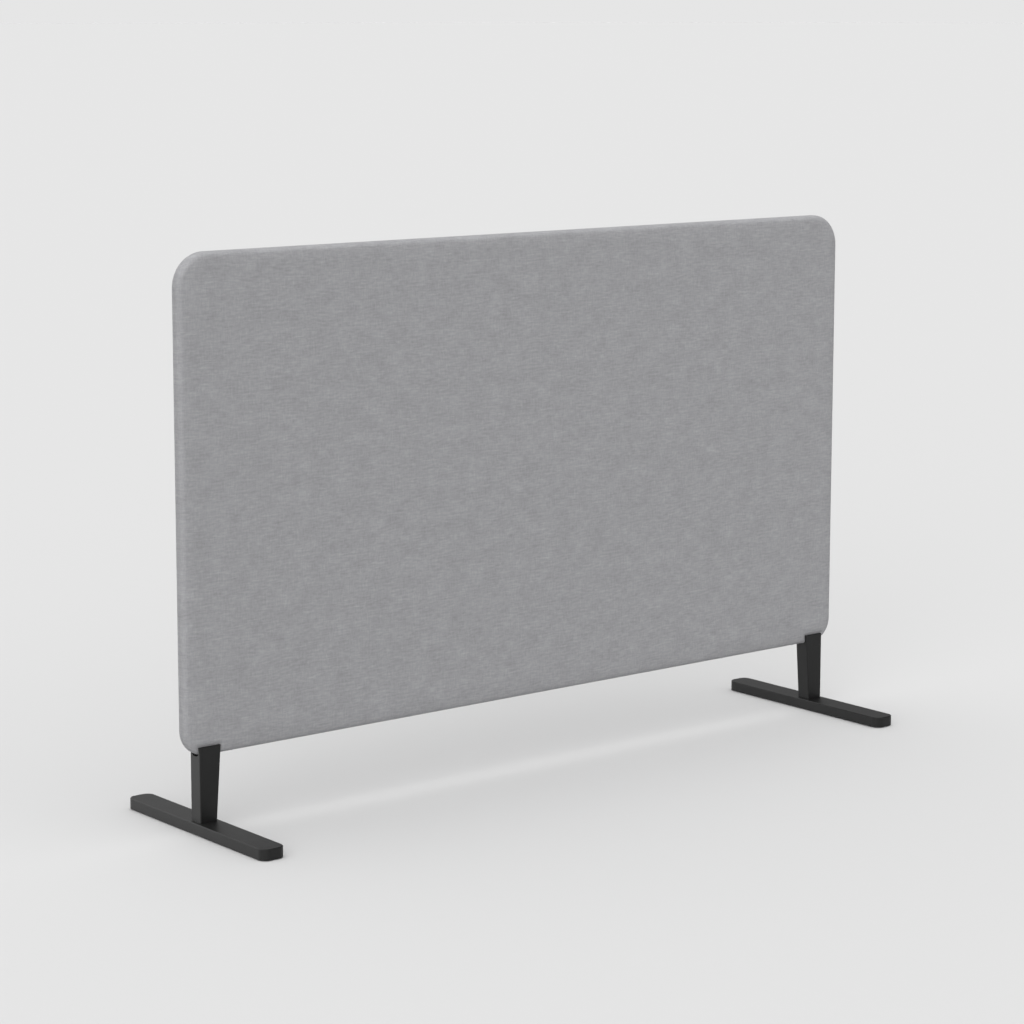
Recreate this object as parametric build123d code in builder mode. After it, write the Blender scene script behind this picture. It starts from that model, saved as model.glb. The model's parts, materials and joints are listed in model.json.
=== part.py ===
from build123d import *
import os

# Free-standing acoustic divider screen, in millimetres.
# The origin is on the floor, under the middle of the panel. X runs along the
# panel, -Y is the front and +Z is up. The two legs are mirror images.

os.makedirs("parts", exist_ok=True)

# Panel, outside
panel_width = 1600
panel_height = 893
floor_clearance = 142
top_corner_radius = 62
bottom_corner_radius = 48
edge_rounding = 8

# Layers of the panel, from the outside in
cloth_thickness = 1
wadding_thickness = 5
frame_thickness = 18

# Timber frame and the slabs in its openings
rail_height = 70
stile_width = 70
centre_stile_width = 50
absorber_clearance = 0.5

# Loose tenons of the frame joints
tenon_length = 50
tenon_thickness = 6
tenon_width_share = 0.55

# Upright of a leg, with its fork
upright_inset = 28
upright_base_width = 35
upright_top_width = 45
end_wall_thickness = 3
prong_thickness = 4.5
prong_height = 17.5
slot_corner_radius = 8
pressed_wadding_thickness = 0.5
upright_edge_rounding = 2
prong_top_bevel = 0.8
saddle_thickness = 6
base_block_height = 12
spigot_depth = 3

# Foot bar and its glides
foot_length = 444
foot_width = 49
foot_thickness = 20
foot_inset = 21
foot_corner_radius = 16
foot_edge_bevel = 1.2
glide_height = 1.5
glide_diameter = 28
glide_end_distance = 30

# Tie bolt and insert that hold a leg to the panel
bolt_diameter = 8
bolt_hole_diameter = 9
bolt_head_diameter = 13
bolt_head_height = 8
bolt_head_recess = 1
bolt_head_clearance = 1
bolt_socket_width = 6
bolt_socket_depth = 4
insert_diameter = 12
insert_length = 18
insert_recess = 1.5

# Staples that close the cover under the bottom rail
staple_crown = 10
staple_leg = 12
staple_wire_width = 1.2
staple_wire_thickness = 0.6
staple_pitch = 190
staple_end_distance = 30

# Clearances and the overrun of every cut
soft_clearance = 0.3
layer_gap = 0.2
fit_clearance = 0.1
overrun = 1

# Sizes that follow from the ones above
cover_depth = cloth_thickness + wadding_thickness
panel_thickness = frame_thickness + 2 * cover_depth
panel_centre_height = floor_clearance + panel_height / 2
slot_half_width = (
    frame_thickness / 2 + pressed_wadding_thickness + layer_gap
    + cloth_thickness + soft_clearance
)
upright_depth = 2 * (slot_half_width + prong_thickness)
foot_bottom = glide_height
foot_top = foot_bottom + foot_thickness
prong_top = floor_clearance + prong_height
upright_outer = panel_width / 2 - upright_inset
foot_centre = panel_width / 2 - foot_inset - foot_width / 2
bolt_centre = upright_outer - upright_base_width / 2
bolt_places = ((-bolt_centre, 0), (bolt_centre, 0))
frame_width = panel_width - 2 * cover_depth
frame_bottom = floor_clearance + cover_depth
frame_top = floor_clearance + panel_height - cover_depth
insert_bottom = frame_bottom + insert_recess
insert_top = insert_bottom + insert_length
bolt_seat = foot_bottom + bolt_head_recess + bolt_head_height
rail_bore_radius = insert_diameter / 2 + fit_clearance
spigot_width = upright_base_width - 2 * end_wall_thickness
spigot_breadth = 2 * slot_half_width


def panel_slab(inset, half_depth):
    """The panel's square-edged slab, its outline drawn in by inset on all sides."""
    with BuildPart() as slab:
        with BuildSketch(Plane.XZ) as outline:
            with Locations((0, panel_centre_height)):
                Rectangle(panel_width - 2 * inset, panel_height - 2 * inset)
            fillet(outline.vertices().group_by(Axis.Y)[-1], radius=top_corner_radius - inset)
            fillet(outline.vertices().group_by(Axis.Y)[0], radius=bottom_corner_radius - inset)
        extrude(amount=half_depth, both=True)
    return slab.part


def upright_outline(side, grow):
    """Side view of an upright: plumb outer edge, raked inner edge, grown by grow."""
    rake = (upright_top_width - upright_base_width) / (prong_top - foot_top)
    low, high = foot_top - grow, prong_top + grow
    inner_low = upright_outer - upright_base_width + rake * grow - grow
    inner_high = upright_outer - upright_top_width - rake * grow - grow
    return [
        (side * (upright_outer + grow), low),
        (side * (upright_outer + grow), high),
        (side * inner_high, high),
        (side * inner_low, low),
    ]


def slot_tongue(side, shrink, drop):
    """What fills a fork's slot: a bar of U section, thinner by shrink and drop higher."""
    low = floor_clearance + drop
    high = prong_top + prong_height
    with BuildPart() as tongue:
        with BuildSketch(Plane.YZ) as end_view:
            with Locations((0, (low + high) / 2)):
                Rectangle(2 * (slot_half_width - shrink), high - low)
            fillet(end_view.vertices().group_by(Axis.Y)[0], radius=slot_corner_radius - drop)
        extrude(amount=side * panel_width / 2)
    return tongue.part


def fork_recess(side, layer):
    """What the fork takes out of the panel, seen from a layer this deep in the cover."""
    grow = soft_clearance + layer
    with BuildPart() as recess:
        with BuildSketch(Plane.XZ):
            Polygon(*upright_outline(side, grow), align=None)
        extrude(amount=panel_thickness / 2 + overrun, both=True)
        add(slot_tongue(side, grow, layer), mode=Mode.SUBTRACT)
    return recess.part


def cover_body(layer, edge_cut):
    """The panel at a depth of layer in its cover: rims cut, and both forks pressed in."""
    with BuildPart() as body:
        add(panel_slab(layer, panel_thickness / 2 - layer))
        edge_cut(body.faces().filter_by(Axis.Y).edges(), edge_rounding - layer)
        for side in (-1, 1):
            add(fork_recess(side, layer), mode=Mode.SUBTRACT)
    return body.part


def leg_bore(radius, low, high):
    """Two upright cylinders, one on each tie bolt's line."""
    with BuildPart() as bore:
        with BuildSketch(Plane.XY.offset(low)):
            with Locations(*bolt_places):
                Circle(radius)
        extrude(amount=high - low)
    return bore.part


# Staple row: it runs between the two forks, with one crown across the seam at each place
staple_row_half = upright_outer - upright_top_width - staple_end_distance
staple_gaps = int(2 * staple_row_half / staple_pitch)
staple_places = [
    (index - staple_gaps / 2) * 2 * staple_row_half / staple_gaps
    for index in range(staple_gaps + 1)
]


def staple_row(leg_grow):
    """Every staple of the row, with its wire thicker by leg_grow all round."""
    outer = staple_crown / 2 + leg_grow
    inner = staple_crown / 2 - staple_wire_thickness - leg_grow
    with BuildPart() as row:
        for place in staple_places:
            with BuildSketch(Plane.YZ.offset(place)):
                with Locations((0, floor_clearance - staple_wire_thickness)):
                    Rectangle(
                        2 * outer, staple_leg + leg_grow, align=(Align.CENTER, Align.MIN)
                    )
                with Locations((0, floor_clearance)):
                    Rectangle(
                        2 * inner, staple_leg + overrun,
                        align=(Align.CENTER, Align.MIN), mode=Mode.SUBTRACT,
                    )
            extrude(amount=staple_wire_width / 2 + leg_grow, both=True)
    return row.part


# Cover: a cloth shell over a wadding shell, each parted in the panel's middle plane.
# The wadding's rims are bevelled, as cut wadding is, and the cloth rounds over them.
cloth_outside = cover_body(0, fillet)
cloth_inside = cover_body(cloth_thickness, fillet)
wadding_outside = cover_body(cloth_thickness + layer_gap, chamfer)
wadding_inside = panel_slab(cover_depth - layer_gap, frame_thickness / 2)
staple_holes = staple_row(fit_clearance)
cloth_bolt_holes = leg_bore(bolt_hole_diameter / 2, floor_clearance - overrun, insert_top)
wadding_bolt_holes = leg_bore(rail_bore_radius, floor_clearance - overrun, insert_top)

for half_name, kept in (("front", Keep.TOP), ("rear", Keep.BOTTOM)):
    with BuildPart() as cloth:
        add(cloth_outside)
        add(cloth_inside, mode=Mode.SUBTRACT)
        add(cloth_bolt_holes, mode=Mode.SUBTRACT)
        add(staple_holes, mode=Mode.SUBTRACT)
        split(bisect_by=Plane.XZ, keep=kept)
    cloth.part.label = f"{half_name}_cloth"
    export_step(cloth.part, f"parts/{half_name}_cloth.step")

    with BuildPart() as wadding:
        add(wadding_outside)
        add(wadding_inside, mode=Mode.SUBTRACT)
        add(wadding_bolt_holes, mode=Mode.SUBTRACT)
        add(staple_holes, mode=Mode.SUBTRACT)
        split(bisect_by=Plane.XZ, keep=kept)
    wadding.part.label = f"{half_name}_wadding"
    export_step(wadding.part, f"parts/{half_name}_wadding.step")

with BuildPart() as hem_staples:
    add(staple_row(0))
hem_staples.part.label = "hem_staples"
export_step(hem_staples.part, "parts/hem_staples.step")

# Timber frame: each member is its own stretch of the one rounded slab
stile_length = frame_top - frame_bottom - 2 * rail_height
stile_centre = (frame_width - stile_width) / 2
rail_centres = (frame_bottom + rail_height / 2, frame_top - rail_height / 2)
joint_heights = (frame_bottom + rail_height, frame_top - rail_height)
joint_places = (
    (-stile_centre, stile_width),
    (0, centre_stile_width),
    (stile_centre, stile_width),
)
frame_slab = panel_slab(cover_depth, frame_thickness / 2)


def tenon_set(grow, lengthen):
    """A loose tenon in each joint of a stile with a rail, thicker by grow all round."""
    with BuildPart() as tenons:
        for joint_height in joint_heights:
            with BuildSketch(Plane.XY.offset(joint_height - tenon_length / 2 - lengthen)):
                for joint_x, member_width in joint_places:
                    with Locations((joint_x, 0)):
                        Rectangle(
                            member_width * tenon_width_share + 2 * grow,
                            tenon_thickness + 2 * grow,
                        )
            extrude(amount=tenon_length + 2 * lengthen)
    return tenons.part


mortises = tenon_set(fit_clearance, overrun)
insert_holes = leg_bore(rail_bore_radius, frame_bottom - overrun, insert_top + overrun)

frame_members = (
    ("bottom_rail", 0, rail_centres[0], frame_width, rail_height),
    ("top_rail", 0, rail_centres[1], frame_width, rail_height),
    ("left_stile", -stile_centre, panel_centre_height, stile_width, stile_length),
    ("centre_stile", 0, panel_centre_height, centre_stile_width, stile_length),
    ("right_stile", stile_centre, panel_centre_height, stile_width, stile_length),
)
for member_name, member_x, member_z, member_width, member_height in frame_members:
    with BuildPart() as member:
        add(frame_slab)
        with BuildSketch(Plane.XZ):
            with Locations((member_x, member_z)):
                Rectangle(member_width, member_height)
        extrude(amount=frame_thickness, both=True, mode=Mode.INTERSECT)
        add(mortises, mode=Mode.SUBTRACT)
        if member_name == "bottom_rail":
            add(insert_holes, mode=Mode.SUBTRACT)
            add(staple_holes, mode=Mode.SUBTRACT)
    member.part.label = member_name
    export_step(member.part, f"parts/{member_name}.step")

with BuildPart() as frame_tenons:
    add(tenon_set(0, 0))
frame_tenons.part.label = "frame_tenons"
export_step(frame_tenons.part, "parts/frame_tenons.step")

# Absorber slabs: one in each opening of the frame
opening_width = (frame_width - centre_stile_width) / 2 - stile_width
opening_centre = (centre_stile_width + opening_width) / 2
for side_name, side in (("left", -1), ("right", 1)):
    with BuildPart() as absorber:
        with BuildSketch(Plane.XZ):
            with Locations((side * opening_centre, panel_centre_height)):
                Rectangle(
                    opening_width - 2 * absorber_clearance,
                    stile_length - 2 * absorber_clearance,
                )
        extrude(amount=frame_thickness / 2, both=True)
    absorber.part.label = f"{side_name}_absorber"
    export_step(absorber.part, f"parts/{side_name}_absorber.step")


def upright_cavity(side):
    """Hollow of an upright, between its two end walls and its two prong walls."""
    rake = (upright_top_width - upright_base_width) / (prong_top - foot_top)
    low, high = foot_top, prong_top + overrun
    inner_low = upright_outer - upright_base_width + end_wall_thickness
    inner_high = inner_low - rake * (high - low)
    outer = upright_outer - end_wall_thickness
    with BuildPart() as cavity:
        with BuildSketch(Plane.XZ):
            Polygon(
                (side * outer, low),
                (side * outer, high),
                (side * inner_high, high),
                (side * inner_low, low),
                align=None,
            )
        extrude(amount=slot_half_width, both=True)
    return cavity.part


def cavity_plug(side, low, high):
    """A stretch of the upright's hollow, as a plate that fills it from low to high."""
    with BuildPart() as plug:
        add(upright_cavity(side))
        with BuildSketch(Plane.XY.offset(low)):
            with Locations((side * (upright_outer - upright_top_width / 2), 0)):
                Rectangle(2 * upright_top_width, 2 * upright_depth)
        extrude(amount=high - low, mode=Mode.INTERSECT)
    return plug.part


for side_name, side in (("left", -1), ("right", 1)):
    bolt_x = side * bolt_centre
    foot_x = side * foot_centre

    # Upright: a tapered hollow post whose front and rear walls go on up as prongs
    with BuildPart() as upright:
        with BuildSketch(Plane.XZ):
            Polygon(*upright_outline(side, 0), align=None)
        extrude(amount=upright_depth / 2, both=True)
        post_edges = upright.faces().filter_by(Axis.Y).edges()
        corner_edges = post_edges.filter_by(
            lambda edge: abs(edge.tangent_at(0).Z) > abs(edge.tangent_at(0).X)
        )
        fillet(corner_edges, radius=upright_edge_rounding)
        top_edges = upright.faces().sort_by(Axis.Z)[-1].edges()
        chamfer(top_edges, length=prong_top_bevel)
        add(upright_cavity(side), mode=Mode.SUBTRACT)
        add(slot_tongue(side, 0, 0), mode=Mode.SUBTRACT)
    upright.part.label = f"{side_name}_upright"
    export_step(upright.part, f"parts/{side_name}_upright.step")

    # Saddle plate: closes the hollow under the panel, flush with the slot's floor
    with BuildPart() as saddle_plate:
        add(cavity_plug(side, floor_clearance - saddle_thickness, floor_clearance))
        with Locations((bolt_x, 0, floor_clearance)):
            Hole(radius=bolt_hole_diameter / 2, depth=saddle_thickness)
    saddle_plate.part.label = f"{side_name}_saddle_plate"
    export_step(saddle_plate.part, f"parts/{side_name}_saddle_plate.step")

    # Base block: closes the foot of the upright, with a spigot that keeps the foot square
    with BuildPart() as base_block:
        add(cavity_plug(side, foot_top, foot_top + base_block_height))
        with BuildSketch(Plane.XY.offset(foot_top)):
            with Locations((bolt_x, 0)):
                Rectangle(spigot_width, spigot_breadth)
        extrude(amount=-spigot_depth)
        with Locations((bolt_x, 0, foot_top + base_block_height)):
            Hole(radius=bolt_hole_diameter / 2, depth=base_block_height + spigot_depth)
    base_block.part.label = f"{side_name}_base_block"
    export_step(base_block.part, f"parts/{side_name}_base_block.step")

    # Foot bar: flat bar with a pocket for the spigot, bored from below for the bolt
    with BuildPart() as foot_bar:
        with BuildSketch(Plane.XY.offset(foot_bottom)):
            with Locations((foot_x, 0)):
                RectangleRounded(foot_width, foot_length, foot_corner_radius)
        extrude(amount=foot_thickness)
        chamfer(foot_bar.faces().sort_by(Axis.Z)[-1].edges(), length=foot_edge_bevel)
        with BuildSketch(Plane.XY.offset(foot_top)):
            with Locations((bolt_x, 0)):
                Rectangle(
                    spigot_width + 2 * fit_clearance, spigot_breadth + 2 * fit_clearance
                )
        extrude(amount=-spigot_depth - fit_clearance, mode=Mode.SUBTRACT)
        with Locations(Plane((bolt_x, 0, foot_bottom), z_dir=(0, 0, -1))):
            CounterBoreHole(
                radius=bolt_hole_diameter / 2,
                counter_bore_radius=bolt_head_diameter / 2 + bolt_head_clearance,
                counter_bore_depth=bolt_head_recess + bolt_head_height,
                depth=foot_thickness,
            )
    foot_bar.part.label = f"{side_name}_foot_bar"
    export_step(foot_bar.part, f"parts/{side_name}_foot_bar.step")

    # Glides: thin round pads stuck under the ends of the foot bar
    with BuildPart() as glides:
        with BuildSketch(Plane.XY):
            with Locations((foot_x, 0)):
                with GridLocations(0, foot_length - 2 * glide_end_distance, 1, 2):
                    Circle(glide_diameter / 2)
        extrude(amount=glide_height)
    glides.part.label = f"{side_name}_glides"
    export_step(glides.part, f"parts/{side_name}_glides.step")

# Tie bolts: socket-head screws from under the feet up to the ends of the inserts
with BuildPart() as tie_bolts:
    with BuildSketch(Plane.XY.offset(bolt_seat)):
        with Locations(*bolt_places):
            Circle(bolt_diameter / 2)
    extrude(amount=insert_top - bolt_seat)
    with BuildSketch(Plane.XY.offset(bolt_seat - bolt_head_height)):
        with Locations(*bolt_places):
            Circle(bolt_head_diameter / 2)
    extrude(amount=bolt_head_height)
    with BuildSketch(Plane.XY.offset(bolt_seat - bolt_head_height)):
        with Locations(*bolt_places):
            RegularPolygon(bolt_socket_width / 2, 6, major_radius=False)
    extrude(amount=bolt_socket_depth, mode=Mode.SUBTRACT)
tie_bolts.part.label = "tie_bolts"
export_step(tie_bolts.part, "parts/tie_bolts.step")

# Rail inserts: threaded sleeves in the bottom rail that the bolts screw into
with BuildPart() as rail_inserts:
    with BuildSketch(Plane.XY.offset(insert_bottom)):
        with Locations(*bolt_places):
            Circle(insert_diameter / 2)
            Circle(bolt_diameter / 2 + fit_clearance, mode=Mode.SUBTRACT)
    extrude(amount=insert_length)
rail_inserts.part.label = "rail_inserts"
export_step(rail_inserts.part, "parts/rail_inserts.step")
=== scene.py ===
# %% [markdown]
# # Acoustic divider screen
# A low free-standing screen: one thin upholstered panel with rounded corners, gripped at its
# lower edge by two forked steel legs on flat foot bars. The rigid pieces come from the packed
# CAD model. Everything soft is modelled here over that fixed frame, and every surface gets a
# procedural finish. All lengths are in metres.

# %% Fixed frame
import json
import math

import bmesh
import bpy
from mathutils import Matrix, Vector

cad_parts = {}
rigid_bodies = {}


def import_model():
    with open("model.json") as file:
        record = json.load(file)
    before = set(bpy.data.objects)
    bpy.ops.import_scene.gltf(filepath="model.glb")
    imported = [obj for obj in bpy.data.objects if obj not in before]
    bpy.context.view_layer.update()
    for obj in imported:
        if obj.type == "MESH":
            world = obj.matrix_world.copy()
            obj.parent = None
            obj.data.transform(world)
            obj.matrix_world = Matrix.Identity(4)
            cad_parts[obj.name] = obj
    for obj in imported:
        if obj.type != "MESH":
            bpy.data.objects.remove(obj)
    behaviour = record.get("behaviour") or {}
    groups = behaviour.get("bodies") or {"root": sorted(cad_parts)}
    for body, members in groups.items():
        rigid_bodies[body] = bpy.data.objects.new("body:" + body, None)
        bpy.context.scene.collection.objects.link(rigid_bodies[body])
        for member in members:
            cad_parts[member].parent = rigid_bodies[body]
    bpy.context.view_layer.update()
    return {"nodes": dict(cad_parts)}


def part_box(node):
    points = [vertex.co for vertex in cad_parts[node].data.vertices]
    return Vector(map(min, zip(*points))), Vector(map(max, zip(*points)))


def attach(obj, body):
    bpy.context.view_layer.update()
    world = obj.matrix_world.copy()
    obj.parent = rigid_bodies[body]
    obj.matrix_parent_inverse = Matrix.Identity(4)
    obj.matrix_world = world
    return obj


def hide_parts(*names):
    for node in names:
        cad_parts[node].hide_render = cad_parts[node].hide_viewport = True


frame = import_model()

nodes = frame["nodes"]

# %% [markdown]
# The cloth has to cover exactly what the CAD cloth covers, so the panel's width, height and
# thickness are measured on that node. They could be typed in, but measured values can't drift from
# the CAD. Only what its box can't give is written down: the radii, the thickness of the cloth, and
# how far inside its surface the padding and the timber frame begin.

# %% Panel sizes
cloth_low, cloth_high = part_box("front_cloth")
HALF_WIDTH = cloth_high[0]
PANEL_BOTTOM = cloth_low[2]
PANEL_TOP = cloth_high[2]
HALF_THICKNESS = -cloth_low[1]
HALF_HEIGHT = (PANEL_TOP - PANEL_BOTTOM) / 2
PANEL_MIDDLE = (PANEL_TOP + PANEL_BOTTOM) / 2
TOP_CORNER = 0.062
BOTTOM_CORNER = 0.048
RIM_RADIUS = 0.008
CLOTH_THICKNESS = 0.001
PADDING_DEPTH = 0.0012
FRAME_DEPTH = 0.0058
FRAME_HALF_THICKNESS = 0.009
HAIR = 1e-6     # lengths under this count as none
print("panel", 2 * HALF_WIDTH, 2 * HALF_HEIGHT, 2 * HALF_THICKNESS, "from", PANEL_BOTTOM)

# %% [markdown]
# The fork's prongs squeeze the padding. A flat face with the steel pushed through it would look
# like a board, so the cloth is drawn in around them: by FORK_PRESS where it lies under the steel,
# and less and less out to FORK_REACH. The prong is the top of a tapered post, whose outer edge is
# plumb and whose inner edge leans. Its outline is all that is needed to know how far a point of the
# cloth is from the steel.

# %% Fork sizes
upright_low, upright_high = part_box("right_upright")
FORK_OUTER = upright_high[0]
FORK_TOP = upright_high[2]
FORK_FOOT = upright_low[2]
FORK_TOP_WIDTH = upright_high[0] - upright_low[0]
FORK_BASE_WIDTH = 0.035
FORK_CLEARANCE = 0.0003
FORK_PRESS = 0.0043
FORK_REACH = 0.009
print("fork outer edge", FORK_OUTER, "top", FORK_TOP, "width", FORK_TOP_WIDTH)


def fork_distance(x, z):
    """How far a point of the panel's face is outside the nearest prong, 0 where it is on it."""
    lean = (FORK_TOP_WIDTH - FORK_BASE_WIDTH) / (FORK_TOP - FORK_FOOT)
    inner = FORK_OUTER - FORK_BASE_WIDTH - lean * (z - FORK_FOOT)
    beside = max(abs(x) - FORK_OUTER, inner - abs(x)) - FORK_CLEARANCE
    above = z - FORK_TOP - FORK_CLEARANCE
    return math.hypot(max(beside, 0), max(above, 0))


# %% [markdown]
# Cloth pulled over wadding never ends in a hard edge. Near the outline the face falls away a
# little, and a little more along the bottom, where the cloth is pulled tight and stapled. Sculpting
# could do this by eye. A rule on the distance from the outline gives the same fall all round, and
# can be used again for the padding. A high power keeps the fall close to the edge, so that the
# rest of the face stays flat. The outline is a rounded rectangle with two corner radii.

# %% Soft shoulders
SHOULDER_WIDTH = 0.028
SHOULDER_DROP = 0.0032
HEM_WIDTH = 0.032
HEM_DROP = 0.0053
FALL_POWER = 3
PRESS_POWER = 2


def edge_distance(x, z):
    """How far a point of the panel's face is inside the panel's outline."""
    radius = TOP_CORNER if z > PANEL_MIDDLE else BOTTOM_CORNER
    over_x = abs(x) - (HALF_WIDTH - radius)
    over_z = abs(z - PANEL_MIDDLE) - (HALF_HEIGHT - radius)
    outside = math.hypot(max(over_x, 0), max(over_z, 0))
    return radius - outside - min(max(over_x, over_z), 0)


def shoulder_drop(x, z):
    """How far the face falls back at this point."""
    side = max(0, 1 - max(edge_distance(x, z), 0) / SHOULDER_WIDTH)
    hem = max(0, 1 - max(z - PANEL_BOTTOM, 0) / HEM_WIDTH)
    return math.hypot(SHOULDER_DROP * side ** FALL_POWER, HEM_DROP * hem ** FALL_POWER)


def draw_in(x, y, z):
    """The depth from the middle plane that a point of the panel's skin is drawn in to."""
    gap = fork_distance(x, z)
    squeezed = max(0, 1 - gap / FORK_REACH) ** PRESS_POWER
    drop = shoulder_drop(x, z)
    shift = drop + (FORK_PRESS - drop) * squeezed
    inner_flat = HALF_THICKNESS - RIM_RADIUS
    return math.copysign(abs(y) - shift * min(abs(y) / inner_flat, 1), y)


# %% [markdown]
# Subdivision would round a box too, but not to a given radius. So the panel's skin starts as a
# cube that is stretched to size, and is bevelled: one bevel for each pair of corners seen from the
# front, and one for the rims. A few insets then ring the two faces, so that the shoulders have
# points to bend at. The operators keep the skin closed all along.

# %% Panel skin
CORNER_STEPS = 16
RIM_STEPS = 8
SHOULDER_RINGS = (0.002, 0.002, 0.003, 0.004, 0.005, 0.006, 0.006, 0.007)
SQUARE_TO_FACE = 0.999      # the least y of the normal of a face that counts as the panel's face


def select_edges(mesh, wanted):
    """The edges whose two ends pass the test."""
    return [edge for edge in mesh.edges if wanted(edge.verts[0].co, edge.verts[1].co)]


def bevel(mesh, edges, size, steps):
    """Rounds the edges with a radius of this size."""
    bmesh.ops.bevel(
        mesh, geom=edges, offset=size, offset_type="OFFSET", segments=steps,
        profile=0.5, affect="EDGES", clamp_overlap=False, material=-1,
    )


def panel_skin(inset, half_thickness, rim, rings):
    """A closed skin of the panel, drawn in by inset all round its outline."""
    mesh = bmesh.new()
    bmesh.ops.create_cube(mesh, size=2)
    size = (HALF_WIDTH - inset, half_thickness, HALF_HEIGHT - inset)
    bmesh.ops.scale(mesh, vec=size, verts=mesh.verts)
    bmesh.ops.translate(mesh, vec=(0, 0, PANEL_MIDDLE), verts=mesh.verts)
    for radius, above in ((TOP_CORNER, True), (BOTTOM_CORNER, False)):
        corners = select_edges(
            mesh, lambda a, b: abs(a.y - b.y) > half_thickness and abs(a.x - b.x) < HAIR
            and (a.z > PANEL_MIDDLE) == above and (b.z > PANEL_MIDDLE) == above,
        )
        bevel(mesh, corners, radius - inset, CORNER_STEPS)
    if rim > 0:
        rims = select_edges(mesh, lambda a, b: abs(a.y - b.y) < HAIR)
        bevel(mesh, rims, rim, RIM_STEPS)
    for ring in rings:
        faces = [face for face in mesh.faces if abs(face.normal.y) > SQUARE_TO_FACE]
        faces = sorted(faces, key=lambda face: -face.calc_area())[:2]
        bmesh.ops.inset_individual(mesh, faces=faces, thickness=ring)
    mesh.normal_update()
    return mesh


cover_skin = panel_skin(0, HALF_THICKNESS, RIM_RADIUS, SHOULDER_RINGS)
print("cover skin:", len(cover_skin.verts), "points,", len(cover_skin.faces), "faces")

# %% [markdown]
# A face of one large polygon can't bend. Subdividing it finely enough for the forks would make
# far too many points elsewhere. Bisecting the skin with evenly spaced planes gives it a coarse
# grid instead, and closer planes near the forks let the cloth dip around the prongs. One plane in
# the middle and two beside it mark the seam.

# %% Grid of the cloth
GRID_STEP = 0.020
FORK_STEP = 0.0024
SEAM_HALF_WIDTH = 0.0012


def spread(low, high, step):
    """Even places from low to high, about a step apart."""
    count = max(1, round((high - low) / step))
    return [low + (high - low) * index / count for index in range(count + 1)]


def cut(mesh, axis, places):
    """Bisects the mesh square to an axis at each of the places."""
    normal = Vector((0, 0, 0))
    normal[axis] = 1
    for place in places:
        geometry = mesh.verts[:] + mesh.edges[:] + mesh.faces[:]
        bmesh.ops.bisect_plane(mesh, geom=geometry, dist=HAIR, plane_co=normal * place,
                               plane_no=normal)


fork_left = FORK_OUTER - FORK_TOP_WIDTH - FORK_REACH
fork_right = FORK_OUTER + FORK_REACH
fork_ceiling = FORK_TOP + FORK_REACH
fork_columns = spread(fork_left, fork_right, FORK_STEP)
open_columns = spread(-fork_left, fork_left, GRID_STEP)[1:-1]
columns = open_columns + fork_columns + [-place for place in fork_columns]
rows = spread(PANEL_BOTTOM + RIM_RADIUS, fork_ceiling, FORK_STEP)
rows += spread(fork_ceiling, PANEL_TOP - GRID_STEP, GRID_STEP)[1:]


def lay_grid(mesh):
    """Cuts the columns, the rows and the seam into a skin."""
    cut(mesh, 0, columns)
    cut(mesh, 2, rows)
    cut(mesh, 1, (-SEAM_HALF_WIDTH, 0, SEAM_HALF_WIDTH))


lay_grid(cover_skin)
print("gridded skin:", len(cover_skin.verts), "points,", len(columns), "x", len(rows), "cuts")

# %% [markdown]
# Every point is then drawn in: by the shoulders near the outline and by the prongs at the forks.
# The seam between the two halves of the cover is sewn from the inside, so it needs no cord or
# stitches of its own. All that shows of it is a fine groove round the panel's edge. The cloth is
# also lifted by a fifth of a millimetre where it stands in the forks, to stay clear of the steel.

# %% Drawing the cloth in
SEAM_DEPTH = 0.00035
FORK_LIFT = 0.0002


def shape_skin(mesh, seam_depth):
    """Draws the skin in at its shoulders, its seam and its forks."""
    mesh.normal_update()
    for point in mesh.verts:
        x, y, z = point.co
        out = Vector((point.normal.x, 0, point.normal.z))
        y = draw_in(x, y, z)
        point.co.y = y
        if abs(y) < HAIR and out.length > 0:
            point.co -= out.normalized() * seam_depth
        if fork_distance(x, z) == 0 and z < PANEL_BOTTOM + FORK_LIFT:
            point.co.z += FORK_LIFT
    mesh.normal_update()


shape_skin(cover_skin, SEAM_DEPTH)

# %% [markdown]
# Wadding pushes the cloth out between the places that hold it. One smooth bulge would look blown
# up, while a cloth under pressure finds its own even fullness. So a short cloth simulation runs
# with light pressure. The rims and the ground round the forks are pinned, gravity is off, and a
# limit keeps the face as flat as the real panel.

# %% Fullness from a cloth simulation
SIMULATION_FRAMES = 16
PRESSURE = 3.0
MOST_FULLNESS = 0.0006
HELD_RIM = 0.012


def held(point):
    """Whether this point of the cloth lies on something that holds it."""
    x, y, z = point
    near_rim = edge_distance(x, z) < HELD_RIM or abs(y) < HALF_THICKNESS - RIM_RADIUS
    return near_rim or fork_distance(x, z) < FORK_REACH


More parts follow.
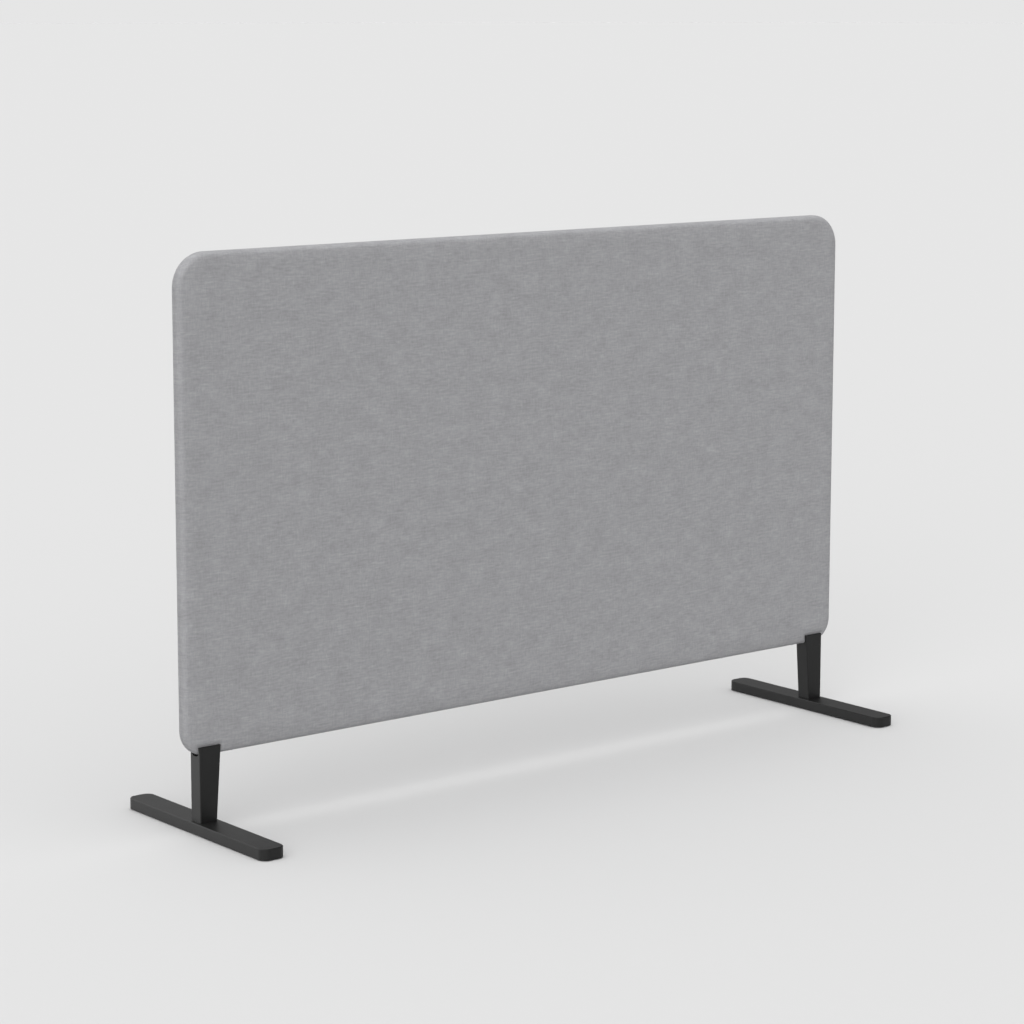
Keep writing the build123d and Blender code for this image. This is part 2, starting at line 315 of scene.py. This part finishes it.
def fill_out(mesh):
    """Runs the simulation on a copy of the skin and moves the skin's points by its result."""
    data = bpy.data.meshes.new("trial_cloth")
    mesh.to_mesh(data)
    trial = bpy.data.objects.new("trial_cloth", data)
    bpy.context.scene.collection.objects.link(trial)
    pins = trial.vertex_groups.new(name="held")
    before = [point.co.copy() for point in data.vertices]
    pins.add([i for i, place in enumerate(before) if held(place)], 1.0, "REPLACE")
    cloth = trial.modifiers.new("cloth", "CLOTH")
    cloth.settings.quality = 5
    cloth.settings.mass = 0.2
    cloth.settings.tension_stiffness = 40
    cloth.settings.compression_stiffness = 40
    cloth.settings.shear_stiffness = 20
    cloth.settings.bending_stiffness = 4
    cloth.settings.use_pressure = True
    cloth.settings.uniform_pressure_force = PRESSURE
    cloth.settings.vertex_group_mass = "held"
    cloth.settings.effector_weights.gravity = 0
    cloth.collision_settings.use_collision = False
    cloth.point_cache.frame_start = 1
    cloth.point_cache.frame_end = SIMULATION_FRAMES
    for number in range(1, SIMULATION_FRAMES + 1):
        bpy.context.scene.frame_set(number)
    result = trial.evaluated_get(bpy.context.evaluated_depsgraph_get()).to_mesh()
    most = 0.0
    mesh.verts.ensure_lookup_table()
    for index, place in enumerate(before):
        move = result.vertices[index].co - place
        if move.length > 0:
            kept = MOST_FULLNESS * (1 - math.exp(-move.length / MOST_FULLNESS))
            mesh.verts[index].co += move.normalized() * kept
            most = max(most, kept)
    bpy.data.objects.remove(trial)
    bpy.context.scene.frame_set(1)
    mesh.normal_update()
    return most


print("cloth filled out by up to", round(fill_out(cover_skin) * 1000, 2), "mm")

# %% [markdown]
# The weave has to run on over the rounded rims without a jump, and at its real size. An unwrap
# would choose its own scale, so the skin gets a map in metres by rule: the place on the face, plus
# how far round the rim the point has gone.

# %% Map of the weave
LEAST_TURN = 0.02       # below this the normal points out of the face, not out of the rim


def map_weave(mesh):
    """Lays a flat map in metres over the skin, unrolled round its rims."""
    layer = mesh.loops.layers.uv.new("weave")
    for face in mesh.faces:
        for loop in face.loops:
            point = loop.vert
            out = Vector((point.normal.x, 0, point.normal.z))
            turn = out.normalized() if out.length > LEAST_TURN else Vector((0, 0, 0))
            wrap = HALF_THICKNESS - abs(point.co.y)
            loop[layer].uv = (point.co.x + turn.x * wrap, point.co.z + turn.z * wrap)


map_weave(cover_skin)

# %% [markdown]
# A finish is a set of nodes around one shader. These helpers make the few kinds that come back in
# every finish: a noise stretched to a real size, a sum of values, a change of range, a colour
# between two tones, and a bump. Node groups could do the same. Plain functions are easier to read,
# and leave each value that is the same all over on the shader's own socket.

# %% Node helpers


class Finish:
    """A material under construction, with short names for the nodes that it needs."""

    def __init__(self, name, rough, metallic=0.0, specular=0.5):
        self.material = bpy.data.materials.new(name)
        self.material.use_nodes = True
        self.tree = self.material.node_tree
        self.shader = self.tree.nodes["Principled BSDF"]
        self.shader.inputs["Roughness"].default_value = rough
        self.shader.inputs["Metallic"].default_value = metallic
        self.shader.inputs["Specular IOR Level"].default_value = specular

    def node(self, kind, **values):
        made = self.tree.nodes.new(kind)
        for name, value in values.items():
            setattr(made, name, value)
        return made

    def link(self, source, target):
        self.tree.links.new(source, target)

    def place(self, source, size):
        """Coordinates divided by size, so that 1 is one grain, thread or fleck."""
        mapping = self.node("ShaderNodeMapping")
        mapping.inputs["Scale"].default_value = [1 / length for length in size]
        self.link(source, mapping.inputs["Vector"])
        return mapping.outputs["Vector"]

    def objects(self):
        return self.node("ShaderNodeTexCoord").outputs["Object"]

    def map(self, name):
        return self.node("ShaderNodeUVMap", uv_map=name).outputs["UV"]

    def noise(self, vector, detail=2.0, rough=0.5):
        made = self.node("ShaderNodeTexNoise")
        made.inputs["Scale"].default_value = 1.0
        made.inputs["Detail"].default_value = detail
        made.inputs["Roughness"].default_value = rough
        self.link(vector, made.inputs["Vector"])
        return made.outputs["Fac"]

    def rescale(self, value, source=(0.0, 1.0), target=(0.0, 1.0)):
        """A value moved from the source range to the target range, and kept inside it."""
        made = self.node("ShaderNodeMapRange")
        ends = {"From Min": source[0], "From Max": source[1],
                "To Min": target[0], "To Max": target[1]}
        for name, end in ends.items():
            made.inputs[name].default_value = end
        self.link(value, made.inputs["Value"])
        return made.outputs["Result"]

    def math(self, operation, first, second):
        made = self.node("ShaderNodeMath", operation=operation)
        for socket, value in zip(made.inputs, (first, second)):
            if isinstance(value, (int, float)):
                socket.default_value = value
            else:
                self.link(value, socket)
        return made.outputs["Value"]

    def total(self, parts):
        """The sum of (value, share) pairs."""
        result = None
        for value, share in parts:
            scaled = self.math("MULTIPLY", value, share)
            result = scaled if result is None else self.math("ADD", result, scaled)
        return result

    def ramp(self, value, stops):
        """A colour read from (place, colour) stops."""
        made = self.node("ShaderNodeValToRGB")
        elements = made.color_ramp.elements
        while len(elements) < len(stops):
            elements.new(0.5)
        for element, (place, colour) in zip(elements, stops):
            element.position = place
            element.color = (*colour, 1)
        self.link(value, made.inputs["Fac"])
        return made.outputs["Color"]

    def colour(self, source):
        self.link(source, self.shader.inputs["Base Color"])

    def two_tones(self, value, dark, light, dark_at=0.3, light_at=0.7):
        """Colours the finish from dark to light as the value rises."""
        self.colour(self.ramp(value, ((dark_at, dark), (light_at, light))))

    def bump(self, height, distance, strength):
        made = self.node("ShaderNodeBump")
        made.inputs["Strength"].default_value = strength
        made.inputs["Distance"].default_value = distance
        self.link(height, made.inputs["Height"])
        self.link(made.outputs["Normal"], self.shader.inputs["Normal"])


# %% [markdown]
# The cover is a woven melange: light and dark fibres are spun together, so single threads come
# out lighter or darker for a stretch of their length. A picture of cloth would repeat and bring its
# own light along, so the cloth is made of noise. Long thin noise along the weft and along the warp
# gives those stretches, and slow noise gives the faint clouds. Here and there a thread is thicker
# for a few centimetres. Such a slub is the highest part of a longer, thinner noise, cut out by a
# change of range. Two very fine waves crossed give the fibres for the bump. At a scale of 1 the
# wave texture turns by 20 radians in one unit, and its size is worked out from that.

# %% Melange cloth
WEFT_STREAK = (0.019, 0.0038, 1)
WARP_STREAK = (0.0038, 0.013, 1)
FLECK = (0.0052, 0.0038, 1)
CLOUD = (0.044, 0.030, 1)
WEFT_SLUB = (0.040, 0.0024, 1)
WARP_SLUB = (0.0024, 0.030, 1)
SLUB_RANGE = (0.60, 0.72)
FIBRE = 0.00022
WAVE_SCALE = 0.5
WAVE_RADIANS = 20
DARK_YARN = (0.254, 0.254, 0.262)
MIDDLE_YARN = (0.328, 0.328, 0.338)
LIGHT_YARN = (0.412, 0.412, 0.425)


def crossed_waves(finish, weave):
    """Two waves, across the warp and across the weft, one period to a fibre."""
    length = FIBRE * WAVE_RADIANS * WAVE_SCALE / math.tau
    waves = []
    for direction in ("X", "Y"):
        wave = finish.node("ShaderNodeTexWave", wave_type="BANDS", bands_direction=direction)
        wave.inputs["Scale"].default_value = WAVE_SCALE
        wave.inputs["Distortion"].default_value = 1.2
        wave.inputs["Detail"].default_value = 1.0
        finish.link(finish.place(weave, (length, length, 1)), wave.inputs["Vector"])
        waves.append(wave.outputs["Fac"])
    return waves


def melange_cloth():
    finish = Finish("melange_cloth", rough=0.92, specular=0.25)
    weave = finish.map("weave")
    weft = finish.noise(finish.place(weave, WEFT_STREAK), detail=3.0, rough=0.55)
    warp = finish.noise(finish.place(weave, WARP_STREAK), detail=3.0, rough=0.55)
    flecks = finish.noise(finish.place(weave, FLECK), detail=2.0)
    clouds = finish.noise(finish.place(weave, CLOUD), detail=2.0)
    weft_slubs = finish.noise(finish.place(weave, WEFT_SLUB), detail=1.0)
    weft_slubs = finish.rescale(weft_slubs, source=SLUB_RANGE)
    warp_slubs = finish.noise(finish.place(weave, WARP_SLUB), detail=1.0)
    warp_slubs = finish.rescale(warp_slubs, source=SLUB_RANGE)
    shade = finish.total(((weft, 0.37), (warp, 0.24), (flecks, 0.10), (clouds, 0.22),
                          (weft_slubs, 0.07), (warp_slubs, 0.05)))
    finish.colour(finish.ramp(shade, ((0.30, DARK_YARN), (0.50, MIDDLE_YARN), (0.70, LIGHT_YARN))))
    across, along = crossed_waves(finish, weave)
    height = finish.total(((across, 0.3), (along, 0.3), (weft, 0.5), (warp, 0.3),
                           (weft_slubs, 0.4), (warp_slubs, 0.3)))
    finish.bump(height, distance=0.00025, strength=0.55)
    finish.shader.inputs["Sheen Weight"].default_value = 0.03
    finish.shader.inputs["Sheen Roughness"].default_value = 0.5
    return finish.material


cloth_finish = melange_cloth()
print("made", cloth_finish.name)

# %% [markdown]
# The two halves of the cover are cut from the skin at the seam. An inner skin could be modelled,
# but cloth is as thick everywhere, and for that a Solidify modifier is enough. It thickens the
# cloth inwards, so that the outside stays where the skin is.

# %% Cover pieces


def half_of(mesh, side):
    """A copy of the part of the skin on one side of the middle plane."""
    part = mesh.copy()
    spare = [face for face in part.faces if face.calc_center_median().y * side < 0]
    bmesh.ops.delete(part, geom=spare, context="FACES")
    return part


def new_piece(mesh, name, material, replaced):
    """Makes a finished piece of a mesh, hangs it on the frame's root body and hides the CAD part
    that it replaces.
    """
    data = bpy.data.meshes.new(name)
    mesh.to_mesh(data)
    mesh.free()
    data.materials.append(material)
    data.shade_smooth()
    piece = bpy.data.objects.new(name, data)
    bpy.context.scene.collection.objects.link(piece)
    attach(piece, "root")
    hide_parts(replaced)
    print(name, len(data.polygons), "faces")
    return piece


for name, side in (("front", -1), ("rear", 1)):
    cover = new_piece(half_of(cover_skin, side), f"{name}_cover", cloth_finish,
                      f"{name}_cloth")
    shell = cover.modifiers.new("cloth_thickness", "SOLIDIFY")
    shell.thickness = CLOTH_THICKNESS
    shell.offset = -1
cover_skin.free()

# %% [markdown]
# Between the cloth and the timber frame lies polyester wadding. Its outside is the cloth's shape a
# little further in, with all its dips, and its inside is the flat side of the frame. A Solidify
# modifier would give both the same shape, so the two skins are made one by one. Both are cut open
# in the middle plane, and bridging their open rims closes the piece.

# %% Wadding finish and pieces
WADDING_FIBRE = (0.0035, 0.0035, 0.0012)
WADDING_TUFT = (0.018, 0.018, 0.018)


def wadding_fleece():
    finish = Finish("wadding_fleece", rough=0.95, specular=0.15)
    place = finish.objects()
    fibres = finish.noise(finish.place(place, WADDING_FIBRE), detail=5.0, rough=0.7)
    tufts = finish.noise(finish.place(place, WADDING_TUFT), detail=2.0)
    shade = finish.total(((fibres, 0.6), (tufts, 0.4)))
    finish.two_tones(shade, dark=(0.62, 0.61, 0.58), light=(0.84, 0.83, 0.80))
    finish.bump(shade, distance=0.0012, strength=0.7)
    return finish.material


def join_skins(outside, inside):
    """One closed shell: the outside skin, the inside skin turned round, and their rims bridged."""
    bmesh.ops.reverse_faces(inside, faces=inside.faces[:])
    data = bpy.data.meshes.new("inside_skin")
    inside.to_mesh(data)
    inside.free()
    outside.from_mesh(data)
    bpy.data.meshes.remove(data)
    open_edges = [edge for edge in outside.edges if edge.is_boundary]
    bmesh.ops.bridge_loops(outside, edges=open_edges)
    outside.normal_update()
    return outside


wadding_finish = wadding_fleece()
padding_skin = panel_skin(PADDING_DEPTH, HALF_THICKNESS - PADDING_DEPTH,
                          RIM_RADIUS - PADDING_DEPTH, SHOULDER_RINGS)
lining_skin = panel_skin(FRAME_DEPTH, FRAME_HALF_THICKNESS, 0, ())
lay_grid(padding_skin)
shape_skin(padding_skin, 0)
cut(lining_skin, 1, (0,))
for name, side in (("front", -1), ("rear", 1)):
    shell = join_skins(half_of(padding_skin, side), half_of(lining_skin, side))
    padding = new_piece(shell, f"{name}_padding", wadding_finish, f"{name}_wadding")
padding_skin.free()
lining_skin.free()

# %% [markdown]
# The openings of the frame are filled with pressed fibre slabs. A slab has knife-cut edges that
# are slightly eased, which a cube with a small bevel gives. Its fibres lie in flat layers, so the
# noise is pressed flat as well, and the layers show as fine lines on the slab's edges.

# %% Absorber slabs
SLAB_EDGE = 0.0012
SLAB_EDGE_STEPS = 3
SLAB_SLACK = 0.0001
SLAB_LAYER = (0.014, 0.0009, 0.014)
SLAB_WISP = (0.004, 0.004, 0.0016)


def fibre_slab():
    finish = Finish("fibre_slab", rough=0.95, specular=0.15)
    place = finish.objects()
    layers = finish.noise(finish.place(place, SLAB_LAYER), detail=4.0, rough=0.65)
    wisps = finish.noise(finish.place(place, SLAB_WISP), detail=5.0, rough=0.7)
    shade = finish.total(((layers, 0.5), (wisps, 0.5)))
    finish.two_tones(shade, dark=(0.46, 0.41, 0.26), light=(0.70, 0.65, 0.47))
    finish.bump(shade, distance=0.0007, strength=0.8)
    return finish.material


slab_finish = fibre_slab()
for side_name in ("left", "right"):
    low, high = (Vector(corner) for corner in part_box(f"{side_name}_absorber"))
    low.y, high.y = low.y + SLAB_SLACK, high.y - SLAB_SLACK
    slab_mesh = bmesh.new()
    bmesh.ops.create_cube(slab_mesh, size=1)
    bmesh.ops.scale(slab_mesh, vec=high - low, verts=slab_mesh.verts)
    bmesh.ops.translate(slab_mesh, vec=(low + high) / 2, verts=slab_mesh.verts)
    bevel(slab_mesh, slab_mesh.edges[:], SLAB_EDGE, SLAB_EDGE_STEPS)
    slab = new_piece(slab_mesh, f"{side_name}_slab", slab_finish,
                     f"{side_name}_absorber")

# %% [markdown]
# The legs are steel with a fine-texture black powder coat: almost black, with a grain of about
# half a millimetre that breaks up the shine. One even roughness would look like plastic. So the
# grain is a bump, and it also changes how rough the coat is from place to place.

# %% Powder coat
COAT_GRAIN = (0.0006, 0.0006, 0.0006)
COAT_DRIFT = (0.03, 0.03, 0.03)
COAT_ROUGHNESS = (0.42, 0.54)


def powder_coat():
    finish = Finish("powder_coat", rough=0.5, specular=0.34)
    place = finish.objects()
    grain = finish.noise(finish.place(place, COAT_GRAIN), detail=2.0)
    drift = finish.noise(finish.place(place, COAT_DRIFT), detail=3.0)
    shade = finish.total(((grain, 0.5), (drift, 0.5)))
    finish.two_tones(shade, dark=(0.006, 0.006, 0.006), light=(0.010, 0.010, 0.0098))
    rough = finish.rescale(shade, target=COAT_ROUGHNESS)
    finish.link(rough, finish.shader.inputs["Roughness"])
    finish.bump(grain, distance=0.00012, strength=0.6)
    return finish.material


# %% [markdown]
# The hidden pieces get finishes of their own too, because the model is also seen taken apart:
# planed softwood with its grain along each member, bright zinc on the fasteners, and matt black
# plastic on the glides.

# %% Timber, zinc and glide finishes
RING_TURNS = 42.0       # radians of ring in one unit of noise
FIBRES_TO_RING = 12
ALONG_X = (0.4, 0.02, 0.02)
ALONG_Z = (0.02, 0.02, 0.4)
ZINC_SPANGLE = (0.002, 0.002, 0.002)
GLIDE_GRAIN = (0.0008, 0.0008, 0.0008)


def softwood(name, size):
    """Planed softwood whose rings are stretched along the member."""
    finish = Finish(name, rough=0.6, specular=0.3)
    place = finish.objects()
    bend = finish.noise(finish.place(place, size), detail=3.0)
    rings = finish.node("ShaderNodeMath", operation="SINE")
    finish.link(finish.math("MULTIPLY", bend, RING_TURNS), rings.inputs[0])
    fibre_size = [length / FIBRES_TO_RING for length in size]
    fibre = finish.noise(finish.place(place, fibre_size), detail=4.0)
    shade = finish.total(((rings.outputs["Value"], 0.16), (fibre, 0.6), (bend, 0.3)))
    finish.two_tones(shade, dark=(0.42, 0.27, 0.13), light=(0.70, 0.53, 0.32), dark_at=0.2)
    finish.bump(shade, distance=0.0002, strength=0.5)
    return finish.material


def bright_zinc():
    finish = Finish("bright_zinc", rough=0.32, metallic=1.0)
    place = finish.objects()
    spangle = finish.noise(finish.place(place, ZINC_SPANGLE), detail=3.0)
    finish.two_tones(spangle, dark=(0.52, 0.53, 0.55), light=(0.72, 0.73, 0.75))
    finish.bump(spangle, distance=0.00005, strength=0.5)
    return finish.material


def glide_plastic():
    finish = Finish("glide_plastic", rough=0.7, specular=0.35)
    place = finish.objects()
    grain = finish.noise(finish.place(place, GLIDE_GRAIN), detail=2.0)
    finish.two_tones(grain, dark=(0.012, 0.012, 0.012), light=(0.03, 0.03, 0.03))
    finish.bump(grain, distance=0.0001, strength=0.5)
    return finish.material


powder = powder_coat()
zinc = bright_zinc()
plastic = glide_plastic()
along_x = softwood("softwood_rail", ALONG_X)
along_z = softwood("softwood_stile", ALONG_Z)
kept_nodes = {
    "left_upright": powder, "right_upright": powder,
    "left_foot_bar": powder, "right_foot_bar": powder,
    "left_saddle_plate": powder, "right_saddle_plate": powder,
    "left_base_block": powder, "right_base_block": powder,
    "left_glides": plastic, "right_glides": plastic,
    "top_rail": along_x, "bottom_rail": along_x,
    "left_stile": along_z, "centre_stile": along_z, "right_stile": along_z,
    "frame_tenons": along_z,
    "tie_bolts": zinc, "rail_inserts": zinc, "hem_staples": zinc,
}
for name, material in kept_nodes.items():
    for slot in nodes[name].material_slots:
        slot.material = material
print("CAD nodes with a new finish:", len(kept_nodes))

# %% [markdown]
# The studio is plain, and its floor runs out of sight. A curved sweep behind the screen could hide
# the horizon too, but would show in other views. The camera and gloss see the floor in its own pale
# grey. Diffuse light gets a little less back from it, as from a floor that ends at the studio's
# walls, which keeps the lower rim of the cover as dark as it should be. Light Path tells the two
# kinds of ray apart, and a ramp from one colour to the other is the switch.

# %% Studio floor
FLOOR_COLOUR = (0.608, 0.608, 0.608)
FLOOR_BOUNCE = (0.46, 0.46, 0.46)
FLOOR_REACH = 400       # half the length of its side

floor_mesh = bmesh.new()
bmesh.ops.create_grid(floor_mesh, x_segments=1, y_segments=1, size=FLOOR_REACH)
floor_data = bpy.data.meshes.new("floor")
floor_mesh.to_mesh(floor_data)
floor_mesh.free()
floor = bpy.data.objects.new("floor", floor_data)
bpy.context.scene.collection.objects.link(floor)
floor_finish = Finish("floor_finish", rough=1.0, specular=0.0)
floor_rays = floor_finish.node("ShaderNodeLightPath").outputs
seen = floor_finish.math("MAXIMUM", floor_rays["Is Camera Ray"], floor_rays["Is Glossy Ray"])
floor_finish.colour(floor_finish.ramp(seen, ((0.0, FLOOR_BOUNCE), (1.0, FLOOR_COLOUR))))
floor_data.materials.append(floor_finish.material)
print("floor", 2 * FLOOR_REACH, "m wide")

# %% [markdown]
# The world round the floor is built from nodes as well. A picture of a studio would light the
# screen too, but here each light can be set by itself. That needs some arithmetic on the direction
# that a ray takes, a soft glow round one direction, a background of a given strength, and a switch
# between two of these by the kind of ray.

# %% World helpers
WHITE = (1, 1, 1, 1)

world = bpy.data.worlds.new("studio")
bpy.context.scene.world = world
world.use_nodes = True
tree = world.node_tree
for old in tree.nodes[:]:
    tree.nodes.remove(old)
direction = tree.nodes.new("ShaderNodeTexCoord").outputs["Generated"]


def maths(operation, first, second):
    """One step of arithmetic on a socket and a number or another socket."""
    made = tree.nodes.new("ShaderNodeMath")
    made.operation = operation
    tree.links.new(first, made.inputs[0])
    if isinstance(second, float):
        made.inputs[1].default_value = second
    else:
        tree.links.new(second, made.inputs[1])
    return made.outputs["Value"]


def facing(toward):
    """How squarely a ray points this way, from -1 to 1."""
    made = tree.nodes.new("ShaderNodeVectorMath")
    made.operation = "DOT_PRODUCT"
    made.inputs[1].default_value = toward
    tree.links.new(direction, made.inputs[0])
    return made.outputs["Value"]


def soft_box(toward, sharpness, strength):
    """A glow round one direction, the narrower the sharper it is."""
    spot = maths("POWER", maths("MAXIMUM", facing(toward), 0.0), sharpness)
    return maths("MULTIPLY", spot, strength)


def glow(strength):
    """A background of white light with this strength, a number or a socket."""
    made = tree.nodes.new("ShaderNodeBackground")
    made.inputs["Color"].default_value = WHITE
    if isinstance(strength, float):
        made.inputs["Strength"].default_value = strength
    else:
        tree.links.new(strength, made.inputs["Strength"])
    return made.outputs["Background"]


def choose(switch, first, second):
    """The second light where the switch is on, and the first elsewhere."""
    made = tree.nodes.new("ShaderNodeMixShader")
    tree.links.new(switch, made.inputs["Fac"])
    tree.links.new(first, made.inputs[1])
    tree.links.new(second, made.inputs[2])
    return made.outputs["Shader"]


print("world:", world.name)

# %% [markdown]
# Diffuse light comes from an even dome with two soft boxes in it. One hangs overhead, and one
# stands low at the front left and turns the rounded edges of the cover pale. Gloss sees a room
# instead: bright at the back left, darker at the front right, with one more faint box low at the
# back right for the top of the right foot. Rays from the camera see a backdrop of the same pale
# grey as the lit floor, so that no horizon shows. Each box is written as its direction, how sharp
# it is and how strong.

# %% Light of the world
BACKDROP = 0.79
DOME_LIGHT = 0.78
OVERHEAD_BOX = ((0.0, 0.0, 1.0), 16.0, 3.6)
FRONT_LEFT_BOX = ((-0.789, -0.589, 0.174), 12.0, 4.0)
ROOM_LIGHT = 2.2
ROOM_BRIGHT_SIDE = (-0.91, 0.42, 0.0)
ROOM_FALL = 1.5
ROOM_BACK_RIGHT_BOX = ((0.87, 0.43, 0.25), 40.0, 0.25)

boxes = maths("ADD", soft_box(*OVERHEAD_BOX), soft_box(*FRONT_LEFT_BOX))
dome = glow(maths("ADD", boxes, DOME_LIGHT))
bright_share = maths("MULTIPLY", maths("ADD", facing(ROOM_BRIGHT_SIDE), 1.0), 0.5)
room_light = maths("MULTIPLY", maths("POWER", bright_share, ROOM_FALL), ROOM_LIGHT)
room = glow(maths("ADD", room_light, soft_box(*ROOM_BACK_RIGHT_BOX)))
rays = tree.nodes.new("ShaderNodeLightPath").outputs
lit = choose(rays["Is Glossy Ray"], dome, room)
lit = choose(rays["Is Transmission Ray"], lit, glow(BACKDROP))
lit = choose(rays["Is Camera Ray"], lit, glow(BACKDROP))
output = tree.nodes.new("ShaderNodeOutputWorld")
tree.links.new(lit, output.inputs["Surface"])
print("world nodes:", len(tree.nodes))

# %% [markdown]
# The left leg stands nearer to the studio's lamps than the right one, and its left sides gleam
# more. A world has no near and far, so one small lamp is put at the back left and aimed at that
# leg. Only gloss sees it, so that the cloth and the floor keep their light, and its narrow spread
# keeps it off the right leg.

# %% Lamp for the gloss of the left leg
LAMP_PLACE = Vector((-1.53, 1.20, 0.24))
LAMP_AIM = Vector((-0.75, 0.0, 0.06))
LAMP_SIZE = 0.5
LAMP_WATTS = 0.5
LAMP_SPREAD = 0.8       # radians

lamp_light = bpy.data.lights.new("gloss_lamp", "AREA")
lamp_light.shape = "DISK"
lamp_light.size = LAMP_SIZE
lamp_light.energy = LAMP_WATTS
lamp_light.spread = LAMP_SPREAD
lamp = bpy.data.objects.new("gloss_lamp", lamp_light)
lamp.location = LAMP_PLACE
lamp.rotation_euler = (LAMP_AIM - LAMP_PLACE).to_track_quat("-Z", "Y").to_euler()
lamp.visible_camera = False
lamp.visible_diffuse = False
bpy.context.scene.collection.objects.link(lamp)
print("lamp", round((LAMP_AIM - LAMP_PLACE).length, 2), "m from the left leg")

# %% [markdown]
# The camera stands where the photograph was taken from: ahead and to the left, a little above the
# panel's top, with a long lens. These values were fitted to the outline of the panel and feet, in
# pixels of the photograph. The lens is shifted a little, because the photograph's upright edges
# converge less than those of a lens centred on this frame.

# %% Camera
CAMERA_PLACE = (-3.4763, -4.2333, 1.4410)
CAMERA_YAW = -0.6803
CAMERA_PITCH = -0.1512
CAMERA_ROLL = 0.0011
FOCAL_PIXELS = 2897.88
MIDDLE_ROW = 455.96
PICTURE_PIXELS = 1024
SENSOR = 36.0           # millimetres
FAR_LIMIT = 1000

lens = bpy.data.cameras.new("camera")
lens.sensor_width = SENSOR
lens.lens = SENSOR * FOCAL_PIXELS / PICTURE_PIXELS
lens.shift_y = (MIDDLE_ROW - PICTURE_PIXELS / 2) / PICTURE_PIXELS
lens.clip_end = FAR_LIMIT
camera = bpy.data.objects.new("camera", lens)
camera.location = CAMERA_PLACE
turn = Matrix.Rotation(CAMERA_YAW, 4, "Z") @ Matrix.Rotation(math.pi / 2 + CAMERA_PITCH, 4, "X")
camera.rotation_euler = (turn @ Matrix.Rotation(CAMERA_ROLL, 4, "Z")).to_euler()
bpy.context.scene.collection.objects.link(camera)
bpy.context.scene.camera = camera
bpy.context.scene.view_settings.view_transform = "Standard"
print("lens", round(lens.lens, 2), "mm")
